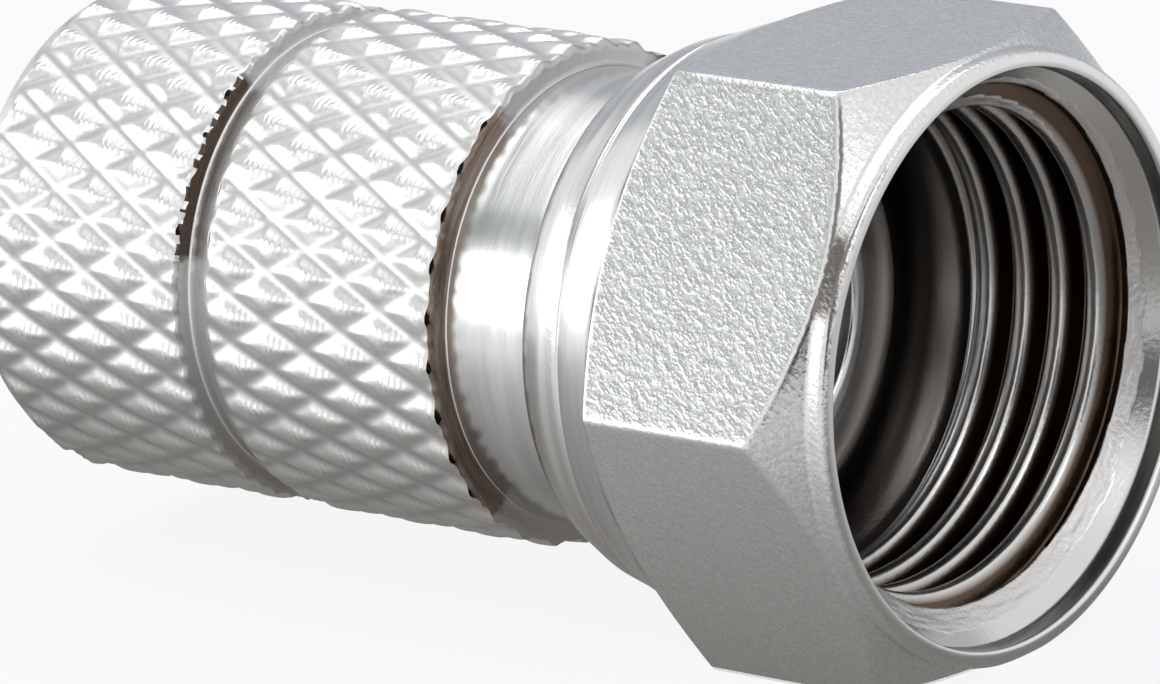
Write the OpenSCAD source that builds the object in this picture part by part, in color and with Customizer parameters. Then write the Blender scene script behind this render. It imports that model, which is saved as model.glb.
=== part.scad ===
// Screw-on coaxial F connector: a knurled body and the hex coupling nut that
// turns freely on its neck. Both are turned brass, and sizes are in millimetres.
// X is the axis of the connector, with the nut's mouth at +X. The origin is on
// the axis, in the body's front face, where the end of a port seats.
// The nut lies with two of its flats level.

/* [Coupling nut] */
// Width across the flats of the hex bar
nut_flats = 11; // [10.6:0.1:12]
// Depth of the body's front face inside the nut's mouth
mouth_depth = 5.5; // [4.6:0.1:7]
// Diameter of the plain mouth in front of the thread's lead-in
mouth_d = 10.3; // [9.8:0.05:10.5]
// Length of the plain mouth
mouth_land = 0.44; // [0.3:0.02:0.7]
// Outside diameter of the coupling thread
thread_d = 9.525; // [9.3:0.025:9.7]
// Threads in 25.4 mm
threads_per_inch = 32; // [28:1:40]
// Length of the thread, from the lead-in to the relief
thread_length = 2.9; // [2.4:0.1:3.4]
// Diameter of the smooth relief behind the thread
relief_d = 9.1; // [8.8:0.05:9.4]
// Thickness of the rear lip that runs on the neck
lip_thickness = 0.95; // [0.6:0.05:1.3]
// Diameter at the nut's rear edge
nut_rear_d = 9.5; // [9:0.1:9.9]
// Diameter in front of the bevel round the rear edge
hub_bevel_d = 10.04; // [9.95:0.01:10.2]
// Length of the bevel round the rear edge
hub_bevel = 0.6; // [0.3:0.05:0.9]
// Diameter of the hub at the fine line turned round it
hub_d = 10.32; // [10.25:0.01:10.5]
// Length of the hub, from the rear edge to the fine line
hub_length = 1.14; // [1:0.02:1.5]
// Length of the cone from the fine line to the flats
hub_cone = 1; // [0.5:0.05:1.5]
// Diameter of the turned nose in front of the flats
nose_d = 10.94; // [10.7:0.02:10.98]
// Length of the turned nose
nose_length = 0.38; // [0.3:0.02:0.6]
// Bevel between the nose and the mouth
nose_edge = 0.1; // [0.05:0.01:0.15]

/* [Body] */
// Diameter over the knurls
body_d = 9.3; // [9.1:0.01:10]
// Diameter of the smooth collar between the nut and the knurls
collar_d = 8.3; // [8.2:0.02:8.5]
// Length of the collar
collar_length = 2.15; // [1:0.05:4]
// Diameter of the neck that the nut turns on
neck_d = 6.9; // [6.4:0.05:7.2]
// Diameter of the flange that keeps the nut on
flange_d = 7.8; // [7.6:0.05:8.2]
// Thickness of the flange
flange_thickness = 0.7; // [0.5:0.05:1]
// Diameter of the bore for the cable's dielectric
dielectric_d = 5.2; // [4.6:0.05:5.4]
// Diameter of the bore that the cable's jacket screws into
jacket_d = 6.7; // [6:0.05:7.4]
// Depth of the jacket's bore from the rear end
jacket_depth = 10.6; // [8:0.1:11.5]
// Depth of the chamfer round the cable entry
entry_chamfer = 0.4; // [0.2:0.05:0.6]

/* [Knurls] */
// Length of the front knurl
front_knurl = 5.1; // [3:0.05:8]
// Length of the rear knurl
rear_knurl = 4.7; // [3:0.05:8]
// Grooves round the body, the same in each direction
knurl_count = 31; // [24:1:34]
// Angle of the grooves to the axis
knurl_angle = 28; // [25:1:35]
// Depth of the grooves
knurl_depth = 0.25; // [0.12:0.01:0.3]
// Depth of the plain ring between the knurls
ring_depth = 0.4; // [0.32:0.01:0.45]
// Flat length of the plain ring, in front of the rear knurl
ring_length = 0.19; // [0.1:0.01:1]
// Length of the bevel at the rear end
rear_bevel = 0.5; // [0.5:0.05:0.65]

/* [Fits] */
// Gap round the neck, between it and the nut's lip
running_gap = 0.05; // [0.02:0.01:0.1]
// Gap on each side of the nut's lip, along the axis
end_gap = 0.08; // [0.04:0.01:0.2]

/* [Hidden] */
$fn = 96;
inch = 25.4;
cut = 1;        // how far a cutting shape runs past the face it opens

// Nut, from the rear to the front
nut_corners = nut_flats / cos(30);
thread_pitch = inch / threads_per_inch;
thread_minor_d = thread_d - 1.0825 * thread_pitch;
lip_front = -flange_thickness - end_gap;
nut_rear = lip_front - lip_thickness;
lead_in = (mouth_d - thread_minor_d) / 2;
mouth_rear = mouth_depth - mouth_land;
thread_front = mouth_rear - lead_in;
thread_rear = thread_front - thread_length;
hub_bevel_front = nut_rear + hub_bevel;
hub_front = nut_rear + hub_length;
flats_rear = hub_front + hub_cone;
nose_rear = mouth_depth - nose_length;
rear_corner_slope = tan(30);        // of the chamfers across the hex corners,
front_corner_slope = tan(38);       // to a face square to the axis

// Body, from the front to the rear
collar_front = nut_rear - end_gap;
shoulder = collar_front - collar_length;
bevel_slope = tan(30);
front_knurl_end = shoulder - front_knurl;
ring_front = front_knurl_end - ring_depth / bevel_slope;
ring_rear = ring_front - ring_length;
rear_knurl_end = ring_rear - rear_knurl;
body_rear = rear_knurl_end - rear_bevel;
ring_r = body_d / 2 - ring_depth;
root_r = body_d / 2 - knurl_depth;
seat = 0.03;            // the core stays this far inside the knurls' roots
core_r = root_r - seat;
diamond_length = PI * body_d / knurl_count / tan(knurl_angle);
jacket_front = body_rear + jacket_depth;

// Children are turned about Z and then laid along X.
module along_x() {
    rotate([0, 90, 0]) children();
}

// A turned shape from its outline, listed as [place along the axis, radius].
module turned(outline) {
    rotate_extrude() polygon([for (p = outline) [p[1], p[0]]]);
}

// ---- Knurl ----
// Two families of helical grooves cross and leave diamonds with flat tops. The
// skin of a knurl is a grid of points a quarter of a diamond apart each way, so
// that every edge of a diamond and the bottom of every groove lies on the grid.

rows = 4 * knurl_count;
column_step = diamond_length / 4;
row_angle = 360 / rows;

// 0 at the bottom of a groove and 1 on the flat between two.
function land(turns) = min(1, 4 * abs(turns - round(turns)));

function knurl_radius(x, row) =
    root_r + knurl_depth * min(land(row / 4 + (x - shoulder) / diamond_length),
                               land(row / 4 - (x - shoulder) / diamond_length));

// Which diagonal a square is split along, so that the split follows its crease.
function splits_down(column, row) =
    let (a = (row + column + 1 + 4 * rows) % 4, b = (row - column + 8 * rows) % 4)
    a % 2 == 0 ? a == 0 : b == 2;

function spoke(x, r, row) =
    [r * cos(row * row_angle), r * sin(row * row_angle), x];

// One knurl, closed by a hidden tube inside the core. Its rear end may run down
// a bevel to the grooves' bottoms.
module knurl(front, rear, bevel) {
    first = floor((rear - shoulder) / column_step + 0.01) + 1;
    last = ceil((front - shoulder) / column_step - 0.01) - 1;
    columns = concat([rear], [for (k = [first:last]) shoulder + k * column_step],
                     [front]);
    end_x = rear - knurl_depth / bevel_slope;
    skin = [for (x = columns) [for (j = [0:rows - 1]) spoke(x, knurl_radius(x, j), j)]];
    foot = bevel ? [[for (j = [0:rows - 1]) spoke(end_x, root_r, j)]] : [];
    inner_r = min(ring_r, collar_d / 2) - 0.15;
    ends = [bevel ? end_x : rear, front];
    tube = [for (x = ends) [for (j = [0:rows - 1]) spoke(x, inner_r, j)]];
    rings = concat(foot, skin, [tube[1]], [tube[0]]);
    n = len(rings);
    offset = first - 1 - len(foot);
    faces = [
        for (i = [0:n - 1], j = [0:rows - 1])
            let (next = (i + 1) % n, k = (j + 1) % rows,
                 p = i * rows + j, q = i * rows + k,
                 s = next * rows + k, r = next * rows + j,
                 sloped = i < n - 3)
            each sloped && splits_down(i + offset, j)
                ? [[p, r, q], [q, r, s]]
                : [[p, s, q], [p, r, s]]
    ];
    polyhedron(points = [for (ring = rings) each ring], faces = faces, convexity = 6);
}

// ---- Sub-parts ----

// Flange, neck, collar and knurled barrel, turned in one piece and bored for
// the cable from both ends.
module body() {
    color([0.74, 0.74, 0.73]) along_x() difference() {
        union() {
            turned([
                [0, 0], [0, flange_d / 2],
                [-flange_thickness, flange_d / 2], [-flange_thickness, neck_d / 2],
                [collar_front, neck_d / 2], [collar_front, collar_d / 2],
                [shoulder - seat, collar_d / 2], [shoulder - seat, core_r],
                [ring_front + (core_r - ring_r) / bevel_slope, core_r],
                [ring_front, ring_r], [ring_rear - seat, ring_r],
                [ring_rear - seat, core_r], [body_rear, core_r], [body_rear, 0]
            ]);
            knurl(shoulder, front_knurl_end, true);
            knurl(ring_rear, rear_knurl_end, true);
        }
        turned([
            [cut, 0], [cut, dielectric_d / 2],
            [jacket_front, dielectric_d / 2], [jacket_front, jacket_d / 2],
            [body_rear + entry_chamfer, jacket_d / 2],
            [body_rear - cut, jacket_d / 2 + entry_chamfer + cut],
            [body_rear - cut, 0]
        ]);
    }
}

// Turned from hex bar: a tapered hub at the rear, chamfered corners, a short
// nose, and the threaded socket inside. The thread's crests are the bore here.
module coupling_nut() {
    flat_r = nut_flats / 2;
    over_r = nut_corners / 2 + cut;
    color([0.8, 0.8, 0.79]) along_x() difference() {
        intersection() {
            translate([0, 0, nut_rear - cut]) rotate(30)
                cylinder(h = mouth_depth - nut_rear + 2 * cut, d = nut_corners, $fn = 6);
            turned([
                [nut_rear, 0], [nut_rear, nut_rear_d / 2],
                [hub_bevel_front, hub_bevel_d / 2],
                [hub_front, hub_d / 2], [flats_rear, flat_r],
                [flats_rear + (over_r - flat_r) * rear_corner_slope, over_r],
                [nose_rear - (over_r - nose_d / 2) * front_corner_slope, over_r],
                [nose_rear, nose_d / 2], [mouth_depth - nose_edge, nose_d / 2],
                [mouth_depth, nose_d / 2 - nose_edge], [mouth_depth, 0]
            ]);
        }
        turned([
            [nut_rear - cut, 0], [nut_rear - cut, neck_d / 2 + running_gap],
            [lip_front, neck_d / 2 + running_gap], [lip_front, relief_d / 2],
            [thread_rear, relief_d / 2], [thread_rear, thread_minor_d / 2],
            [thread_front, thread_minor_d / 2],
            [mouth_rear, mouth_d / 2], [mouth_depth + cut, mouth_d / 2],
            [mouth_depth + cut, 0]
        ]);
    }
}

body();
coupling_nut();
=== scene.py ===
import math

import bmesh
import bpy
from mathutils import Matrix, Vector, noise


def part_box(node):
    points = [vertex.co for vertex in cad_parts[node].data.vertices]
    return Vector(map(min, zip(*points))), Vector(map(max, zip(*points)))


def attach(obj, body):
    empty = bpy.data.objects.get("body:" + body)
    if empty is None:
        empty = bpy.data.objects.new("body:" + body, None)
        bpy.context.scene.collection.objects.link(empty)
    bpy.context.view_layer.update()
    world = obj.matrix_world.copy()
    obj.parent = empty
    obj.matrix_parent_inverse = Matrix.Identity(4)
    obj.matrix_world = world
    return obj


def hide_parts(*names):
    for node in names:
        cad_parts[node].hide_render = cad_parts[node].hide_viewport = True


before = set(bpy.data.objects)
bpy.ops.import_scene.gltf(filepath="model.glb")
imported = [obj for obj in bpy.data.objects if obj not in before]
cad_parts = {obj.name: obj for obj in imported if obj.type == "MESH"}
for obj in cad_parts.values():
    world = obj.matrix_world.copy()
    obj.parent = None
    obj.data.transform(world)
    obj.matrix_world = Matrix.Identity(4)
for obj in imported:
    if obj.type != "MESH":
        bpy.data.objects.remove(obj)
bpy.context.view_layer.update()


# ---- Body ----
# One turned piece of nickel-plated brass: a flange and neck that carry the nut,
# a smooth collar, and a barrel rolled with two bands of diamond knurl. The cable
# goes in at the rear.

MM = 0.001
FLANGE_R, FLANGE_REAR = 3.9, -0.7
NECK_R, COLLAR_FRONT, COLLAR_R = 3.45, -1.81, 4.15
SHOULDER, BARREL_R = -3.96, 4.65
FRONT_BAND_END = -9.06
RING_FRONT, RING_REAR, RING_R = -9.753, -9.943, 4.25
REAR_BAND_END, BODY_REAR, REAR_R = -14.643, -15.143, 4.361
DIELECTRIC_R, JACKET_R, JACKET_FRONT = 2.6, 3.35, -4.543
KNURL_STARTS = 31
FIRST_DEPTH, CROSS_DEPTH, BURR = 0.13, 0.115, 0.05
BLEND, CROWN_DROP = 0.012, 0.0084
RAGGED_SHOULDER, RAGGED_RING = 0.012, 0.05
# Each band was rolled on its own: how far apart its grooves cross a line along the
# barrel, and where they start, for the deeper grooves and for the ones across them.
FRONT_BAND = {"first": (1.89, 0.50), "cross": (1.68, 0.36)}
REAR_BAND = {"first": (1.77, 0.21), "cross": (1.67, 0.44)}


def between(start, end, count):
    """Places along a straight run of an outline, without its start."""
    return [tuple(a + (b - a) * k / count for a, b in zip(start, end))
            for k in range(1, count + 1)]


def turned(outline, steps):
    """A closed outline of (x, radius) in millimetres, turned about the axis."""
    shape = bmesh.new()
    ring = [shape.verts.new((x * MM, 0.0, r * MM)) for x, r in outline]
    edges = [shape.edges.new((ring[i - 1], ring[i])) for i in range(len(ring))]
    bmesh.ops.spin(shape, geom=ring + edges, cent=(0, 0, 0), axis=(1, 0, 0),
                   dvec=(0, 0, 0), angle=math.tau, steps=steps, use_merge=True,
                   use_duplicate=False)
    return shape


def finished(name, shape, materials, body):
    """Closes a shape off as a piece that rides on a body."""
    bmesh.ops.recalc_face_normals(shape, faces=shape.faces)
    for face in shape.faces:
        face.smooth = True
    mesh = bpy.data.meshes.new(name)
    shape.to_mesh(mesh)
    shape.free()
    piece = bpy.data.objects.new(name, mesh)
    bpy.context.scene.collection.objects.link(piece)
    for material in materials:
        mesh.materials.append(material)
    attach(piece, body)
    return piece


def grained(x, turn, r, size, seed):
    """Smooth noise from -1 to 1 on the surface of the barrel."""
    return noise.noise(Vector((x / size, r * math.cos(turn) / size + seed,
                               r * math.sin(turn) / size)))


def rolled(turns, sharpness):
    """1 at the bottom of a rolled groove, and 0 on the crown between two."""
    return (0.5 + 0.5 * math.cos(math.tau * turns)) ** sharpness


def near(value, centre, reach):
    """1 at a centre, falling evenly to 0 at a distance from it."""
    return max(0.0, 1.0 - abs(value - centre) / reach)


def knurl_drop(x, turn, band):
    """How far the rolled surface lies under the full diameter, how deep that is in a
    groove, and how strongly the roll's teeth have marked it."""
    starts = turn / math.tau * KNURL_STARTS
    first = starts - x / band["first"][0] + band["first"][1]
    cross = starts + x / band["cross"][0] + band["cross"][1]
    a = rolled(first, 1.3)
    b = rolled(cross, 1.7)
    # The deeper of the two grooves, with the step between them rounded off. On a crown
    # the rounding alone would give a small drop, which is taken away.
    drop = BLEND * math.log(math.exp(FIRST_DEPTH * a / BLEND)
                            + math.exp(CROSS_DEPTH * b / BLEND)) - CROWN_DROP
    # The teeth mark one side of each diamond, and the metal is burred beyond them.
    teeth = near(first % 1.0, 0.30, 0.24) * near(cross % 1.0, 0.62, 0.34)
    burr = near(cross % 1.0, 0.80, 0.12) * (1.0 - a)
    drop += BURR * burr * grained(x, turn, BARREL_R, 0.10, 3.0)
    return max(drop, 0.0), max(a ** 2, 0.9 * b ** 2), min(1.0, 1.6 * teeth)


body_outline = (
    [(-0.06, DIELECTRIC_R), (0.0, DIELECTRIC_R + 0.06)]
    + between((0.0, DIELECTRIC_R + 0.06), (0.0, FLANGE_R - 0.1), 4)
    + [(-0.03, FLANGE_R - 0.03), (-0.1, FLANGE_R), (FLANGE_REAR + 0.08, FLANGE_R),
       (FLANGE_REAR, FLANGE_R - 0.08), (FLANGE_REAR, NECK_R), (COLLAR_FRONT, NECK_R),
       (COLLAR_FRONT, COLLAR_R - 0.08), (COLLAR_FRONT - 0.03, COLLAR_R - 0.02),
       (COLLAR_FRONT - 0.1, COLLAR_R)]
    + between((COLLAR_FRONT - 0.1, COLLAR_R), (SHOULDER + 0.05, COLLAR_R), 5)
    + [(SHOULDER + 0.01, COLLAR_R + 0.01)]
    + between((SHOULDER, COLLAR_R + 0.03), (SHOULDER, BARREL_R - 0.03), 4)
    + between((SHOULDER, BARREL_R), (FRONT_BAND_END, BARREL_R), 60)
    + between((FRONT_BAND_END, BARREL_R), (RING_FRONT, RING_R), 8)
    + [(RING_REAR + 0.06, RING_R), (RING_REAR + 0.01, RING_R + 0.02)]
    + between((RING_REAR, RING_R + 0.04), (RING_REAR, BARREL_R - 0.03), 4)
    + between((RING_REAR, BARREL_R), (REAR_BAND_END, BARREL_R), 55)
    + between((REAR_BAND_END, BARREL_R), (BODY_REAR + 0.03, REAR_R + 0.02), 6)
    + [(BODY_REAR, REAR_R - 0.03), (BODY_REAR, JACKET_R + 0.42),
       (BODY_REAR + 0.02, JACKET_R + 0.38), (BODY_REAR + 0.4, JACKET_R)]
    + between((BODY_REAR + 0.4, JACKET_R), (JACKET_FRONT, JACKET_R), 4)
    + [(JACKET_FRONT, DIELECTRIC_R)]
)

barrel = turned(body_outline, 540)
depth_layer = barrel.verts.layers.float.new("groove_depth")
teeth_layer = barrel.verts.layers.float.new("teeth_marks")
# The knurl sinks into the two bands. The walls that face the nut end in its ragged edge.
for v in barrel.verts:
    x, r = v.co.x / MM, math.hypot(v.co.y, v.co.z) / MM
    if r < RING_R + 0.005 or x > SHOULDER + 0.02 and r < COLLAR_R + 0.05:
        continue
    turn = math.atan2(v.co.z, v.co.y)
    front = x > RING_REAR + 0.002
    edge, foot = (SHOULDER, COLLAR_R + 0.01) if front else (RING_REAR, RING_R + 0.01)
    drop, deep, teeth = knurl_drop(x, turn, FRONT_BAND if front else REAR_BAND)
    if abs(x - edge) < 0.006:
        share = min(1.0, max(0.0, (r - foot) / (BARREL_R - foot)))
        new_r = foot + share * (BARREL_R - drop - 0.03 - foot)
        ragged = RAGGED_SHOULDER
        if not front:
            ragged = RAGGED_RING * min(1.0, max(0.0, 3.0 * math.sin(turn)))
        v.co.x += MM * ragged * share * (grained(x, turn, r, 0.16, 9.0) - 0.3)
    else:
        new_r = min(r, BARREL_R - drop)
        near_edge = min(1.0, max(0.0, (r - RING_R) / 0.3))
        v[depth_layer] = deep * near_edge
        v[teeth_layer] = teeth * near_edge
    v.co.y *= new_r / r
    v.co.z *= new_r / r
for face in barrel.faces:
    middle = face.calc_center_median() / MM
    r = math.hypot(middle.y, middle.z)
    ahead = abs(sum(v.co.x for v in face.verts) / 4 / MM - SHOULDER) < 0.05
    behind = abs(middle.x - RING_REAR) < 0.05
    if r > COLLAR_R + 0.02 and middle.x < SHOULDER - 0.02:
        face.material_index = 1
    if (ahead and r > COLLAR_R + 0.005) or (behind and r > RING_R + 0.01):
        face.material_index = 2
    if r < JACKET_R + 0.02:
        face.material_index = 0


def add(tree, kind, inputs={}, **settings):
    """A shader node with its settings, and its inputs set or linked."""
    made = tree.nodes.new(kind if kind.startswith("Node") else "ShaderNode" + kind)
    for name, value in settings.items():
        setattr(made, name, value)
    for name, value in inputs.items():
        if isinstance(value, bpy.types.NodeSocket):
            tree.links.new(value, made.inputs[name])
        else:
            made.inputs[name].default_value = value
    return made


def calc(tree, operation, *values):
    """A Math node's result."""
    return add(tree, "Math", dict(enumerate(values)), operation=operation).outputs[0]


def remap(tree, value, low, high, to_low=0.0, to_high=1.0):
    """A value taken from one range to another, and held inside it."""
    return add(tree, "MapRange", {"Value": value, "From Min": low, "From Max": high,
                                  "To Min": to_low, "To Max": to_high}).outputs[0]


def product(tree, first, *others):
    """Several values multiplied together."""
    for other in others:
        first = calc(tree, "MULTIPLY", first, other)
    return first


def axis_distance(tree, xyz):
    """How far a point is from the part's axis."""
    return calc(tree, "SQRT", calc(tree, "ADD", product(tree, xyz[1], xyz[1]),
                                   product(tree, xyz[2], xyz[2])))


def tinted(tree, amount, low, high):
    """A colour between two others, each written as a colour or read from a node."""
    ends = [end if isinstance(end, bpy.types.NodeSocket) else (*end, 1.0) for end in (low, high)]
    return add(tree, "Mix", {0: amount, 6: ends[0], 7: ends[1]}, data_type="RGBA").outputs[2]


def effect(name, inputs, outputs):
    """An empty node group with its sockets, for an effect that several finishes share."""
    group = bpy.data.node_groups.new(name, "ShaderNodeTree")
    for label, value in inputs.items():
        socket = group.interface.new_socket(label, in_out="INPUT",
                                            socket_type="NodeSocketFloat")
        socket.default_value = value
    for label in outputs:
        group.interface.new_socket(label, in_out="OUTPUT", socket_type="NodeSocketFloat")
    return group, group.nodes.new("NodeGroupInput"), group.nodes.new("NodeGroupOutput")


# Fine rings left by the turning tool, which follow the axis and the radius.
turning, given, result = effect("turning_lines", {"Lines": 9.0, "Wander": 0.6},
                                ["Height", "Streak"])
place = add(turning, "TexCoord").outputs["Object"]
xyz = add(turning, "SeparateXYZ", {0: place}).outputs
turn = calc(turning, "ARCTAN2", xyz[2], xyz[1])
along = add(turning, "CombineXYZ", {
    0: product(turning, xyz[0], 1.0 / MM),
    1: product(turning, axis_distance(turning, xyz), 1.0 / MM),
    2: product(turning, calc(turning, "SINE", turn), given.outputs["Wander"])}).outputs[0]
rings = add(turning, "TexNoise", {"Vector": along, "Scale": given.outputs["Lines"],
                                  "Detail": 4.0, "Roughness": 0.7})
streak = add(turning, "TexNoise", {"Vector": along, "Scale": 2.2, "Detail": 3.0,
                                   "Roughness": 0.6})
turning.links.new(rings.outputs[0], result.inputs["Height"])
turning.links.new(streak.outputs[0], result.inputs["Streak"])

# The faint pebbled skin of the nickel plating. Its size is in millimetres.
plating, given, result = effect("plating_skin", {"Size": 0.08}, ["Height"])
place = add(plating, "TexCoord").outputs["Object"]
fineness = calc(plating, "DIVIDE", 1.0 / MM, given.outputs["Size"])
skin = add(plating, "TexNoise", {"Vector": place, "Scale": fineness, "Detail": 3.0,
                                 "Roughness": 0.55})
plating.links.new(skin.outputs[0], result.inputs["Height"])


def placed(tree, group, **values):
    """A shared effect placed in a finish with its own values."""
    made = add(tree, "Group", node_tree=group)
    for name, value in values.items():
        made.inputs[name.capitalize()].default_value = value
    return made.outputs


def metal(name, colour):
    """A new metal finish, and its shader."""
    finish = bpy.data.materials.new(name)
    finish.use_nodes = True
    shader = finish.node_tree.nodes["Principled BSDF"]
    shader.inputs["Metallic"].default_value = 1.0
    shader.inputs["Roughness"].default_value = 0.25
    shader.inputs["Base Color"].default_value = (*colour, 1.0)
    return finish, finish.node_tree, shader


def bumped(tree, shader, height, depth):
    """Raises a surface by a height map, to a depth in metres."""
    bump = add(tree, "Bump", {"Height": height, "Strength": 1.0, "Distance": depth})
    tree.links.new(bump.outputs[0], shader.inputs["Normal"])


NICKEL, NICKEL_DULL = (0.80, 0.80, 0.79), (0.64, 0.645, 0.645)
GROOVE_PAINTED_SHADE, WALL_GREY = (0.60, 0.60, 0.60), (0.50, 0.49, 0.485)
BROWN, BROWN_LIGHT, BROWN_DARK = (0.17, 0.115, 0.085), (0.33, 0.285, 0.255), (0.05, 0.035, 0.028)
OVERHANG_SHADOW_BLACK = (0.012, 0.01, 0.009)

turned_nickel, tree, shader = metal("turned_nickel", NICKEL)
lines = placed(tree, turning, lines=11.0, wander=0.5)
skin = placed(tree, plating, size=0.05)
bumped(tree, shader, calc(tree, "ADD", lines["Height"], product(tree, skin["Height"], 0.35)), 1.6e-6)
tree.links.new(tinted(tree, remap(tree, lines["Streak"], 0.35, 0.65), NICKEL_DULL, NICKEL),
               shader.inputs["Base Color"])
tree.links.new(remap(tree, lines["Streak"], 0.3, 0.7, 0.17, 0.26), shader.inputs["Roughness"])

knurled_nickel, tree, shader = metal("knurled_nickel", NICKEL)
depth = add(tree, "Attribute", attribute_name="groove_depth").outputs["Fac"]
teeth = add(tree, "Attribute", attribute_name="teeth_marks").outputs["Fac"]
place = add(tree, "TexCoord").outputs["Object"]
marks = add(tree, "TexWave", {"Vector": place, "Scale": 2400.0, "Distortion": 2.5, "Detail": 2.0,
                              "Detail Scale": 1.5}, wave_type="BANDS", bands_direction="X")
skin = placed(tree, plating, size=0.07)
height = calc(tree, "ADD", product(tree, marks.outputs["Fac"], product(tree, teeth, 1.6)),
              product(tree, skin["Height"], remap(tree, depth, 0.0, 0.5, 0.8, 0.4)))
bumped(tree, shader, height, 8e-6)
# The grooves are painted a darker grey the deeper they lie: painted shade in the creases.
tree.links.new(tinted(tree, remap(tree, depth, 0.3, 1.0), NICKEL, GROOVE_PAINTED_SHADE),
               shader.inputs["Base Color"])
tree.links.new(remap(tree, depth, 0.0, 0.8, 0.33, 0.38), shader.inputs["Roughness"])

# The two walls that face the nut are coloured brown over a band of their height, whose limits
# are a painted reflection. The wall behind the ring is coloured darker, and only high up.
# Rolled metal hangs over both edges, and a painted shadow under it is a black line.
brown_wall, tree, shader = metal("brown_wall", BROWN)
place = add(tree, "TexCoord").outputs["Object"]
xyz = add(tree, "SeparateXYZ", {0: place}).outputs
radius = axis_distance(tree, xyz)
patches = add(tree, "TexNoise", {"Vector": place, "Scale": 2600.0, "Detail": 4.0,
                                 "Roughness": 0.65}).outputs[0]
blotch = calc(tree, "SUBTRACT", patches, 0.5)
upward = calc(tree, "ADD", calc(tree, "DIVIDE", xyz[2], radius), product(tree, blotch, 0.10))
behind_ring = remap(tree, xyz[0], -0.009, -0.0085, 1.0, 0.0)
lowest = remap(tree, behind_ring, 0.0, 1.0, -0.75, 0.22)
# The brown band's upper and lower limits by height are painted reflection.
painted_brown_band = product(tree, remap(tree, calc(tree, "SUBTRACT", upward, lowest), 0.0, 0.03),
                  remap(tree, upward, 0.86, 0.90, 1.0, 0.0))
ragged = calc(tree, "ADD", radius, product(tree, blotch, 0.00015))
# A black line is painted at the top of each wall: painted shadow under the overhanging rolled metal.
overhang_painted_shadow = product(tree, painted_brown_band, remap(tree, ragged, 0.00457, 0.00459))
lines = placed(tree, turning, lines=9.0, wander=0.4)
streaks = tinted(tree, remap(tree, lines["Height"], 0.35, 0.7), BROWN, BROWN_LIGHT)
wall_brown_colour = tinted(tree, product(tree, behind_ring, 0.75), streaks, BROWN_DARK)
wall_brown_colour = tinted(tree, overhang_painted_shadow, wall_brown_colour, OVERHANG_SHADOW_BLACK)
tree.links.new(tinted(tree, painted_brown_band, WALL_GREY, wall_brown_colour), shader.inputs["Base Color"])
bumped(tree, shader, lines["Height"], 2e-6)
shader.inputs["Roughness"].default_value = 0.38

knurled_body = finished("knurled_body", barrel, [turned_nickel, knurled_nickel, brown_wall],
                        "body")
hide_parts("body")


# ---- Coupling nut ----
# Turned from drawn hex bar and nickel plated. It runs freely on the neck, and its
# mouth is threaded for the port. The lead-in in front of the first thread is left
# torn by the tap. Deep in the bore the thread roots and the relief are painted dark
# brown and the crests a darker grey than the outside: painted shade.

FLATS_R, EDGE_ROUNDING, GATHERED = 5.5, 0.035, 0.75
MOUTH, MOUTH_REAR, MOUTH_R, NOSE_R, NOSE_REAR = 5.5, 5.06, 5.15, 5.47, 5.12
FRONT_SLOPE, REAR_SLOPE, OVER_R = math.tan(math.radians(38)), math.tan(math.radians(30)), 6.42
FLATS_REAR, HUB_LINE, HUB_LINE_R = 0.41, -0.59, 5.16
HUB_BEVEL, HUB_BEVEL_R, NUT_REAR, NUT_REAR_R = -1.13, 5.02, -1.73, 4.75
LIP_R, LIP_FRONT, RELIEF_R = 3.5, -0.78, 4.55
THREAD_PITCH, CREST_R, ROOT_DEPTH = 0.79375, 4.333, 0.43
RELIEF_SHADE = 0.32
THREAD_REAR, THREAD_FRONT, FIRST_CREST, TAP_R = 1.343, 4.243, 4.06, 4.88

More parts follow.
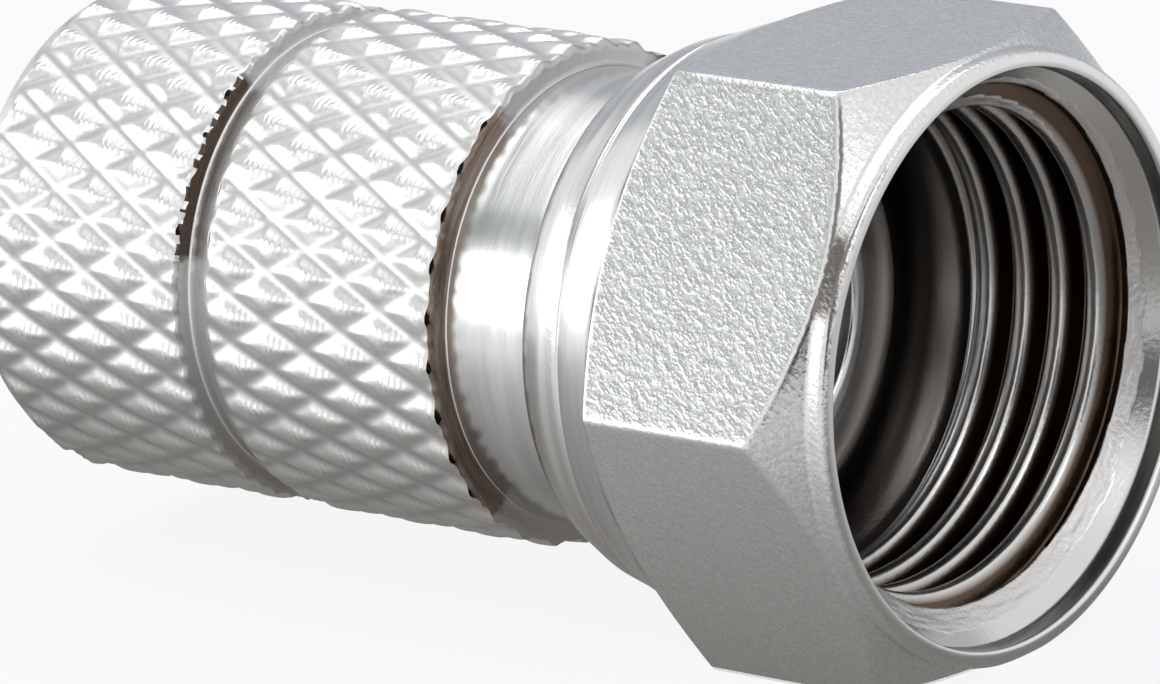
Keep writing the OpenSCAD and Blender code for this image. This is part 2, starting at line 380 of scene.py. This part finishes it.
front_corner = NOSE_REAR - (OVER_R - NOSE_R) * FRONT_SLOPE
rear_corner = FLATS_REAR + (OVER_R - FLATS_R) * REAR_SLOPE
nut_outline = (
    [(MOUTH - 0.02, MOUTH_R + 0.005), (MOUTH, MOUTH_R + 0.03), (MOUTH, NOSE_R - 0.11),
     (MOUTH - 0.03, NOSE_R - 0.05), (MOUTH - 0.08, NOSE_R - 0.012), (MOUTH - 0.13, NOSE_R),
     (NOSE_REAR + 0.12, NOSE_R), (NOSE_REAR + 0.03, NOSE_R), (NOSE_REAR, NOSE_R + 0.012)]
    + between((NOSE_REAR, NOSE_R + 0.012), (front_corner, OVER_R), 26)
    + between((front_corner, OVER_R), (rear_corner, OVER_R), 7)
    + between((rear_corner, OVER_R), (FLATS_REAR, FLATS_R), 24)
    + between((FLATS_REAR, FLATS_R), (HUB_LINE + 0.035, HUB_LINE_R + 0.01), 6)
    + [(HUB_LINE + 0.02, HUB_LINE_R), (HUB_LINE, HUB_LINE_R - 0.03),
       (HUB_LINE - 0.02, HUB_LINE_R - 0.008)]
    + between((HUB_LINE - 0.02, HUB_LINE_R - 0.008), (HUB_BEVEL + 0.03, HUB_BEVEL_R + 0.006), 3)
    + [(HUB_BEVEL - 0.03, HUB_BEVEL_R - 0.01)]
    + between((HUB_BEVEL - 0.03, HUB_BEVEL_R - 0.01), (NUT_REAR + 0.05, NUT_REAR_R + 0.01), 3)
    + [(NUT_REAR + 0.01, NUT_REAR_R - 0.02), (NUT_REAR, NUT_REAR_R - 0.06),
       (NUT_REAR, LIP_R + 0.06), (NUT_REAR + 0.06, LIP_R), (LIP_FRONT - 0.06, LIP_R),
       (LIP_FRONT, LIP_R + 0.06), (LIP_FRONT, RELIEF_R - 0.06), (LIP_FRONT + 0.06, RELIEF_R)]
    + between((LIP_FRONT + 0.06, RELIEF_R), (THREAD_REAR - 0.12, RELIEF_R), 5)
    + between((THREAD_REAR - 0.12, RELIEF_R), (THREAD_REAR, CREST_R), 3)
    + between((THREAD_REAR, CREST_R), (THREAD_FRONT, CREST_R), 95)
    + between((THREAD_FRONT, CREST_R), (MOUTH_REAR, MOUTH_R), 30)
    + between((MOUTH_REAR, MOUTH_R), (MOUTH - 0.02, MOUTH_R + 0.005), 4)[:-1]
)


def hex_radius(turn):
    """Distance from the axis to the hex bar, with its corners just rounded."""
    share = 0.0
    for k in range(6):
        lean = math.cos(turn - math.radians(30 + 60 * k))
        if lean > 0.5:
            share += math.exp((FLATS_R - FLATS_R / lean) / EDGE_ROUNDING)
    return FLATS_R - EDGE_ROUNDING * math.log(share)


def thread_radius(x, turn):
    """Radius of the tapped wall: the crests are nearest the axis."""
    phase = ((x - FIRST_CREST) / THREAD_PITCH - turn / math.tau) % 1.0
    away = min(phase, 1.0 - phase)
    rise = min(1.0, max(0.0, (away - 0.15) / 0.26))
    rise = rise * rise * (3 - 2 * rise) * 0.5 + rise * 0.5
    runout = min(1.0, max(0.0, (x - THREAD_REAR) / 0.3))
    crown = 0.03 * min(1.0, away / 0.16) ** 2
    return CREST_R + crown + ROOT_DEPTH * rise * runout


def torn(x, turn, size):
    """Noise from -1 to 1 round the bore, stretched along the cut."""
    return noise.noise(Vector((x / size, 9.0 * math.cos(turn), 9.0 * math.sin(turn))))


nut_blank = turned(nut_outline, 360)
root_shade_layer = nut_blank.verts.layers.float.new("painted_root_shade")
torn_layer = nut_blank.verts.layers.float.new("torn")
edge_layer = nut_blank.verts.layers.float.new("edge_gap")
for v in nut_blank.verts:
    x, r = v.co.x / MM, math.hypot(v.co.y, v.co.z) / MM
    # The steps of the turning are gathered towards the hex's corners, which need them most.
    turn = math.atan2(v.co.z, v.co.y)
    turn -= GATHERED / 6 * math.sin(6 * turn)
    new_r = r
    if r > NOSE_R - 0.001 or (x > 0.3 and r > 5.44):
        bar = hex_radius(turn)
        new_r = -EDGE_ROUNDING * math.log(math.exp((FLATS_R - r) / EDGE_ROUNDING)
                                          + math.exp((FLATS_R - bar) / EDGE_ROUNDING)) + FLATS_R
        new_r = min(new_r, r)
        v[edge_layer] = max(-1.0, r - bar) if x > 2.5 else 1.0
    elif LIP_FRONT - 0.001 < x < THREAD_REAR - 0.001 and r < 5.0:
        # The smooth relief behind the thread is painted part-way dark: painted shade deep in the bore.
        v[root_shade_layer] = RELIEF_SHADE
    elif THREAD_REAR - 0.001 < x < MOUTH_REAR + 0.001 and r < MOUTH_R:
        cut_r = thread_radius(x, turn)
        new_r = max(r, cut_r)
        if cut_r > r:
            v[root_shade_layer] = min(1.0, max(0.0, (new_r - CREST_R) / ROOT_DEPTH))
        reach = TAP_R + 0.05 * torn(1.0, turn, 1.0)
        # The lead-in's cone is left torn as far out as the tap has reached.
        if r > CREST_R + 0.01 and cut_r <= r < reach:
            v[torn_layer] = 1.0
            new_r += 0.02 * torn(x, turn, 0.05) + 0.015 * torn(x, 6 * turn, 0.03)
    v.co = (v.co.x, new_r * MM * math.cos(turn), new_r * MM * math.sin(turn))
for face in nut_blank.faces:
    middle = face.calc_center_median() / MM
    r = math.hypot(middle.y, middle.z)
    if r > 5.3 and middle.x > FLATS_REAR - 0.05:
        face.material_index = 1
    elif middle.x > LIP_FRONT - 0.1 and r < MOUTH_R - 0.01:
        face.material_index = 2

# Painted shade in the bore: crests darker than the outside nickel, roots dark brown.
LINE_BROWN, CREST_PAINTED_SHADE_GREY, ROOT_PAINTED_SHADE = (0.10, 0.07, 0.055), (0.66, 0.65, 0.64), (0.10, 0.07, 0.05)

bar_nickel, tree, shader = metal("bar_nickel", NICKEL)
place = add(tree, "TexCoord").outputs["Object"]
slanted = add(tree, "Mapping", {"Vector": place, "Rotation": (0.0, math.radians(-52), 0.0),
                                "Scale": (1.0 / 1000, 1.0 / 1000, 1.0 / 420)},
              vector_type="TEXTURE")
glints = add(tree, "TexNoise", {"Vector": slanted.outputs[0], "Scale": 8.5, "Detail": 2.5,
                                "Roughness": 0.6})
skin = placed(tree, plating, size=0.07)
gap = add(tree, "Attribute", attribute_name="edge_gap").outputs["Fac"]
patches = add(tree, "TexNoise", {"Vector": place, "Scale": 5200.0, "Detail": 3.0,
                                 "Roughness": 0.6}).outputs[0]
uneven = calc(tree, "ADD", gap, product(tree, calc(tree, "SUBTRACT", patches, 0.5), 0.10))
# A thin brown line in the chamfer, beside the front edge of one flat only.
side = add(tree, "SeparateXYZ", {0: place}).outputs
dark_line = product(tree, remap(tree, uneven, -0.09, -0.06), remap(tree, uneven, -0.02, 0.0, 1.0, 0.0),
                    remap(tree, side[1], -0.0033, -0.0031, 1.0, 0.0),
                    remap(tree, side[2], 0.0008, 0.0014))
bumped(tree, shader, calc(tree, "ADD", glints.outputs[0], product(tree, skin["Height"], 0.5)), 14e-6)
plated = tinted(tree, remap(tree, skin["Height"], 0.3, 0.7), NICKEL_DULL, NICKEL)
tree.links.new(tinted(tree, product(tree, dark_line, 0.8), plated, LINE_BROWN),
               shader.inputs["Base Color"])
tree.links.new(remap(tree, glints.outputs[0], 0.3, 0.7, 0.3, 0.2), shader.inputs["Roughness"])

tapped_nickel, tree, shader = metal("tapped_nickel", NICKEL)
depth = add(tree, "Attribute", attribute_name="painted_root_shade").outputs["Fac"]
rough = add(tree, "Attribute", attribute_name="torn").outputs["Fac"]
lines = placed(tree, turning, lines=7.0, wander=1.5)
skin = placed(tree, plating, size=0.1)
height = calc(tree, "ADD", product(tree, lines["Height"], 0.5),
              product(tree, skin["Height"], remap(tree, rough, 0.0, 1.0, 0.7, 2.5)))
bumped(tree, shader, height, 6e-6)
# The bore's colour darkens towards the thread roots: painted shade.
tree.links.new(tinted(tree, remap(tree, depth, 0.08, 0.45), CREST_PAINTED_SHADE_GREY, ROOT_PAINTED_SHADE),
               shader.inputs["Base Color"])
tree.links.new(remap(tree, rough, 0.0, 1.0, 0.24, 0.42), shader.inputs["Roughness"])

coupling_nut = finished("hex_coupling_nut", nut_blank, [turned_nickel, bar_nickel, tapped_nickel],
                        "coupling_nut")
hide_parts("coupling_nut")


# ---- Table ----
# A plain pale table under the part, which fades into the white background and
# keeps its soft shadow.

table = bmesh.new()
bmesh.ops.create_grid(table, x_segments=2, y_segments=2, size=1.5,
                      matrix=Matrix.Translation((0, 0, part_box("coupling_nut")[0][2])))
table_mesh = bpy.data.meshes.new("table")
table.to_mesh(table_mesh)
table.free()
table_top = bpy.data.objects.new("table", table_mesh)
bpy.context.scene.collection.objects.link(table_top)

WHITE_SHARE = 0.88
pale = bpy.data.materials.new("pale_table")
pale.use_nodes = True
tree = pale.node_tree
tree.nodes.clear()


def background_rays(tree):
    """1 for the rays that show the background: the camera's, and those in metal and glass."""
    ray = add(tree, "LightPath").outputs
    return calc(tree, "MAXIMUM", ray["Is Camera Ray"],
                calc(tree, "MAXIMUM", ray["Is Glossy Ray"], ray["Is Transmission Ray"]))


matt = add(tree, "BsdfDiffuse", {"Color": (0.86, 0.86, 0.86, 1.0)})
white = add(tree, "Emission", {"Color": (1.0, 1.0, 1.0, 1.0), "Strength": 1.0})
fade = add(tree, "MixShader", {0: product(tree, background_rays(tree), WHITE_SHARE),
                               1: matt.outputs[0], 2: white.outputs[0]})
tree.links.new(fade.outputs[0], add(tree, "OutputMaterial").inputs["Surface"])
table_mesh.materials.append(pale)


# ---- Light ----
# A soft white tent: softboxes at the left and overhead, a small one at the right,
# and dark and grey cards that give the metal its edges.

world = bpy.data.worlds.new("studio")
world.use_nodes = True
tree = world.node_tree
tree.nodes.clear()
room = add(tree, "Background", {"Color": (0.92, 0.95, 1.0, 1.0), "Strength": 0.6})
backdrop = add(tree, "Background", {"Color": (1.0, 1.0, 1.0, 1.0), "Strength": 1.0})
shown = add(tree, "MixShader", {0: background_rays(tree), 1: room.outputs[0],
                                2: backdrop.outputs[0]})
tree.links.new(shown.outputs[0], add(tree, "OutputWorld").inputs["Surface"])
bpy.context.scene.world = world


def facing(direction, distance):
    """Where something stands in a direction, turned to face the part."""
    away = Vector(direction).normalized()
    turned_to = away.to_track_quat("Z", "Y")
    return Matrix.Translation(away * distance) @ turned_to.to_matrix().to_4x4()


def softbox(name, direction, distance, size, brightness):
    """A rectangular softbox. Its brightness is how white it looks in a mirror."""
    lamp = bpy.data.lights.new(name, "AREA")
    lamp.shape, lamp.size, lamp.size_y = "RECTANGLE", size[0], size[1]
    lamp.energy = brightness * math.pi * size[0] * size[1]
    stand = bpy.data.objects.new(name, lamp)
    stand.matrix_world = facing(direction, distance)
    stand.visible_camera = False
    bpy.context.scene.collection.objects.link(stand)


softbox("softbox_left", (-0.79, -0.59, 0.14), 0.5, (0.62, 0.30), 1.5)
softbox("softbox_overhead", (-0.45, 0.08, 0.80), 0.5, (0.75, 0.14), 1.6)
softbox("softbox_right", (0.86, -0.02, 0.42), 0.5, (0.16, 0.14), 2.2)


def card(name, direction, distance, size, shade):
    """A card that only the metal mirrors."""
    flat = bmesh.new()
    bmesh.ops.create_grid(flat, x_segments=1, y_segments=1, size=0.5,
                          matrix=facing(direction, distance) @ Matrix.Diagonal((*size, 1.0, 1.0)))
    sheet = bpy.data.meshes.new(name)
    flat.to_mesh(sheet)
    flat.free()
    held = bpy.data.objects.new(name, sheet)
    bpy.context.scene.collection.objects.link(held)
    paper = bpy.data.materials.new(name)
    paper.use_nodes = True
    paper.node_tree.nodes.clear()
    glow = add(paper.node_tree, "Emission", {"Color": (*shade, 1.0), "Strength": 1.0})
    paper.node_tree.links.new(glow.outputs[0],
                              add(paper.node_tree, "OutputMaterial").inputs["Surface"])
    sheet.materials.append(paper)
    held.visible_camera = held.visible_diffuse = held.visible_shadow = False
    held.visible_transmission = held.visible_volume_scatter = False
    return held


card("grey_card_back", (-0.45, 0.85, 0.20), 0.9, (1.6, 0.9), (0.50, 0.52, 0.56))
card("dark_card_overhead", (-0.59, -0.26, 0.76), 0.6, (0.6, 0.14), (0.10, 0.12, 0.12))
card("grey_card_overhead", (-0.60, -0.50, 0.62), 0.62, (0.6, 0.30), (0.44, 0.47, 0.45))
card("dark_card_right", (0.90, -0.44, 0.03), 0.6, (0.44, 0.42), (0.025, 0.03, 0.03))

# The card on the table is in the part's own shade near the axis, and pale further out.
SHADED, UNSHADED = (0.26, 0.25, 0.24), (0.85, 0.85, 0.85)
low_card = card("grey_card_table", (0.0, 0.0, -1.0), 0.0054, (0.09, 0.044), SHADED)
tree = low_card.data.materials[0].node_tree
place = add(tree, "TexCoord").outputs["Object"]
across = calc(tree, "ABSOLUTE", add(tree, "SeparateXYZ", {0: place}).outputs[1])
tree.links.new(tinted(tree, remap(tree, across, 0.003, 0.020), SHADED, UNSHADED),
               tree.nodes["Emission"].inputs["Color"])


# ---- Camera ----
# A long lens, a little above the part and in front of its left side. The part
# rests tail down on a real table, so the camera leans by the same few degrees.

AIM = Vector((-4.0, 0.0, 0.0)) * MM
DISTANCE, ASIDE, BELOW = 168.885, 0.243, 0.874
FOCAL, FRAME_WIDTH, SENSOR = 9334.2, 1160, 36.0
AZIMUTH, ELEVATION, LEAN = map(math.radians, (39.884, 16.261, -3.900))
back = Vector((math.sin(AZIMUTH) * math.cos(ELEVATION),
               -math.cos(AZIMUTH) * math.cos(ELEVATION), math.sin(ELEVATION)))
level = Vector((math.cos(AZIMUTH), math.sin(AZIMUTH), 0.0))
upright = back.cross(level)
right = level * math.cos(LEAN) + upright * math.sin(LEAN)
up = upright * math.cos(LEAN) - level * math.sin(LEAN)
stand = AIM + (back * DISTANCE - level * ASIDE - upright * BELOW) * MM
lens = bpy.data.cameras.new("camera")
lens.sensor_width = SENSOR
lens.lens = FOCAL / FRAME_WIDTH * SENSOR
lens.clip_start, lens.clip_end = 0.01, 10.0
camera = bpy.data.objects.new("camera", lens)
camera.matrix_world = Matrix((
    (right.x, up.x, back.x, stand.x), (right.y, up.y, back.y, stand.y),
    (right.z, up.z, back.z, stand.z), (0.0, 0.0, 0.0, 1.0)))
bpy.context.scene.collection.objects.link(camera)
bpy.context.scene.camera = camera
bpy.context.scene.view_settings.view_transform = "Standard"
